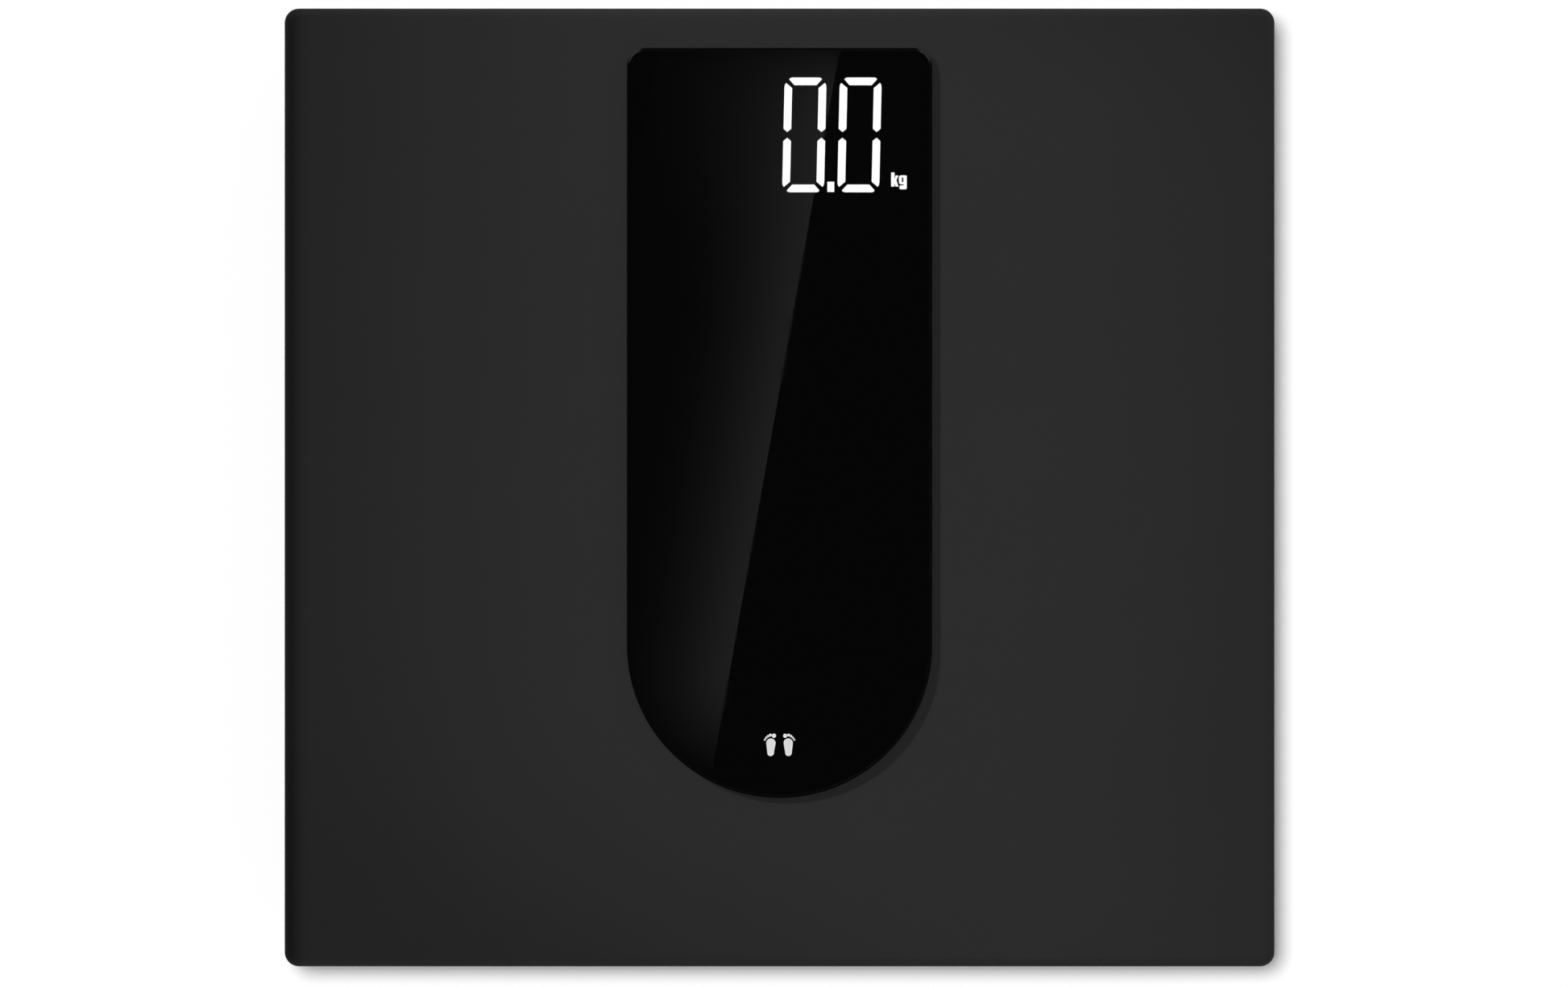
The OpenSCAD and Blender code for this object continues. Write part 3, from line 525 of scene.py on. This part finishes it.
def make_floor(reach=14.0):
    """A pale floor that is clear from below, so that the underside can be seen; returns its collection."""
    corners = [(-reach, -reach, 0), (reach, -reach, 0), (reach, reach, 0), (-reach, reach, 0)]
    mesh = mesh_of("floor", corners, [(0, 1, 2, 3)], smooth=False)
    made = bpy.data.objects.new("floor", mesh)
    scene.collection.objects.link(made)
    finish = Finish("studio_floor", Roughness=0.9, Specular_IOR_Level=0.1)
    finish.colour((0.92, 0.92, 0.92, 1))
    from_below = finish.node("ShaderNodeNewGeometry").outputs["Backfacing"]
    one_way = finish.node("ShaderNodeMixShader", Fac=from_below)
    finish.feed(one_way.inputs[1], finish.shader.outputs["BSDF"])
    finish.feed(one_way.inputs[2], finish.node("ShaderNodeBsdfTransparent").outputs["BSDF"])
    finish.feed(finish.tree.nodes["Material Output"].inputs["Surface"], one_way.outputs["Shader"])
    mesh.materials.append(finish.material)
    made.visible_glossy = False
    floor_only = bpy.data.collections.new("floor_only")
    floor_only.objects.link(made)
    return floor_only


def lamp(name, kind, receivers, power, direction, place=(0, 0, 1), blockers=None, **settings):
    """A light on its receivers only, which shows in no reflection; blockers, if given, alone cast shadows.

    An area light's x side lies over the object's y axis, whichever way it shines.
    """
    light = bpy.data.lights.new(name, kind)
    light.energy = power
    for setting, value in settings.items():
        setattr(light, setting, value)
    made = bpy.data.objects.new(name, light)
    scene.collection.objects.link(made)
    made.location = place
    back = -Vector(direction).normalized()
    across = (Vector((0, 1, 0)) - back * back.y).normalized()
    made.rotation_euler = Matrix((across, back.cross(across), back)).transposed().to_euler()
    made.light_linking.receiver_collection = receivers
    if blockers:
        made.light_linking.blocker_collection = blockers
    made.visible_camera = False
    made.visible_glossy = False
    made.visible_transmission = False


def make_lamps(floor_only):
    """A key for the floor's shadow, and two narrow beams and a low fill for the object."""
    lamp("floor_key", "SUN", floor_only, power=3.3, direction=(0.145, -0.115, -1), angle=math.radians(24))

    side_direction = Vector((1.15, -0.85, -1)).normalized()
    side_target = Vector((0.025, 0.015, PLATE_TOP))
    side_distance = 1.2
    lamp("object_side", "AREA", object_pieces, power=0.0912, direction=side_direction,
         place=side_target - side_distance * side_direction,
         shape="RECTANGLE", size=0.315, size_y=0.178, spread=math.radians(6))

    # The beam from above ends in a soft edge just inside the platform's left side
    top_size, top_rise, lit_from = 0.36, 0.3, -0.1517
    lamp("object_top", "AREA", object_pieces, power=0.176, direction=(0, 0, -1),
         place=(lit_from + top_size / 2, 0, PLATE_TOP + top_rise),
         shape="RECTANGLE", size=top_size, size_y=top_size, spread=math.radians(2.1))

    lamp("object_underside", "SUN", object_pieces, power=2.2, direction=(-0.25, 0.2, 1),
         blockers=object_pieces, angle=math.radians(30))


def smoothstep(low, high, value):
    t = min(1, max(0, (value - low) / (high - low)))
    return t * t * (3 - 2 * t)


def make_reflection_card():
    """A soft card overhead whose straight edge shows as a diagonal gloss across the panel."""
    rise, radiance = 1.3, 0.285
    camera_rise = CAMERA_PLACE.z - PANEL_TOP
    grow = 1 + rise / camera_rise

    def above(x, y):
        """The place on the card that the camera sees mirrored in the panel at x, y."""
        return Vector((x * grow - CAMERA_PLACE.x * (grow - 1), y * grow - CAMERA_PLACE.y * (grow - 1),
                       PANEL_TOP + rise))

    near, far = above(-25.2 * MM, -112 * MM), above(22.7 * MM, 159 * MM)
    width = 56 * MM * grow
    towards_left = (near - far).cross(Vector((0, 0, 1))).normalized()
    rows, columns = 60, 24
    points, levels = [], []
    # The gloss fades out at both ends of its edge, and away from the edge, more slowly at the far end
    for j in range(rows + 1):
        t = j / rows
        ends = smoothstep(0.065, 0.205, t) * smoothstep(0.975, 0.83, t)
        fade = (15 + 34 * max(0, t - 0.6)) * MM * grow
        for i in range(columns + 1):
            aside = width * i / columns
            points.append(near.lerp(far, t) + towards_left * aside)
            levels.append(ends * math.exp(-(aside / fade) ** 1.4))
    corner = [j * (columns + 1) + i for j in range(rows) for i in range(columns)]
    faces = [(c, c + 1, c + columns + 2, c + columns + 1) for c in corner]
    mesh = mesh_of("reflection_card", points, faces, smooth=False, glow=levels)
    made = bpy.data.objects.new("reflection_card", mesh)
    scene.collection.objects.link(made)

    material = bpy.data.materials.new("card_glow")
    material.use_nodes = True
    material.node_tree.nodes.clear()
    card = Nodes(material.node_tree)
    emit = card.node("ShaderNodeEmission", Strength=card.math("MULTIPLY", card.attribute("glow"), radiance))
    both = card.node("ShaderNodeAddShader")
    card.feed(both.inputs[0], emit.outputs["Emission"])
    card.feed(both.inputs[1], card.node("ShaderNodeBsdfTransparent").outputs["BSDF"])
    card.node("ShaderNodeOutputMaterial", Surface=both.outputs["Shader"])
    mesh.materials.append(material)
    made.visible_camera = False
    made.visible_diffuse = False
    made.visible_shadow = False
    made.visible_transmission = False


def make_world():
    """White behind the object, a soft glow low in the sky to light it, and another for it to reflect."""
    world = bpy.data.worlds.new("studio")
    scene.world = world
    world.use_nodes = True
    world.node_tree.nodes.clear()
    sky = Nodes(world.node_tree)

    def ramp(value, start, end, low=0.0, high=1.0):
        return sky.remap(value, low, high, start, end, kind="SMOOTHSTEP")

    def product(a, b):
        return sky.math("MULTIPLY", a, b)

    def total(a, b):
        return sky.math("ADD", a, b)

    split = sky.node("ShaderNodeSeparateXYZ", Vector=sky.node("ShaderNodeTexCoord").outputs["Generated"])
    x, y, z = (split.outputs[axis] for axis in "XYZ")

    # What lights the object: a band above the horizon, brighter to the right and at the far end
    glow = product(ramp(z, 0.02, 0.25), ramp(z, 0.3, 0.66, 1, 0))
    glow = product(glow, product(ramp(x, -0.7, 0.5, 0, 0.56), ramp(y, -1, 1, 0.8, 1.1)))

    # What the object reflects: a band above the horizon, the ground's pale light, and two low lights at the
    # far corners, which show on the panel's corner chamfers
    band = product(ramp(z, 0.14, 0.3), ramp(z, 0.34, 0.7, 1, 0))
    facing = total(ramp(product(y, y), 0.05, 0.6, 0.1, 0.6), ramp(x, 0, 0.8, 0, 0.4))
    ground = ramp(z, -0.5, -0.9, 0, 0.8)
    far_corners = ramp(product(sky.math("ABSOLUTE", x), y), 0.22, 0.4)
    low_lights = product(far_corners, ramp(sky.math("ABSOLUTE", z), 0.1, 0.35, 0.55, 0))
    shine = total(total(product(band, facing), ground), low_lights)

    seen_as = sky.node("ShaderNodeLightPath")
    mirrored = sky.node("ShaderNodeMix", Factor=seen_as.outputs["Is Glossy Ray"], A=glow, B=shine)
    level = sky.remap(mirrored.outputs["Result"], 0.04, 0.9, 0, 1)
    soft = sky.node("ShaderNodeBackground", Color=WHITE, Strength=level)
    white = sky.node("ShaderNodeBackground", Color=WHITE, Strength=1.0)
    pick = sky.node("ShaderNodeMixShader", Fac=seen_as.outputs["Is Camera Ray"])
    sky.feed(pick.inputs[1], soft.outputs["Background"])
    sky.feed(pick.inputs[2], white.outputs["Background"])
    sky.node("ShaderNodeOutputWorld", Surface=pick.outputs["Shader"])


make_lamps(make_floor())
make_reflection_card()
make_world()
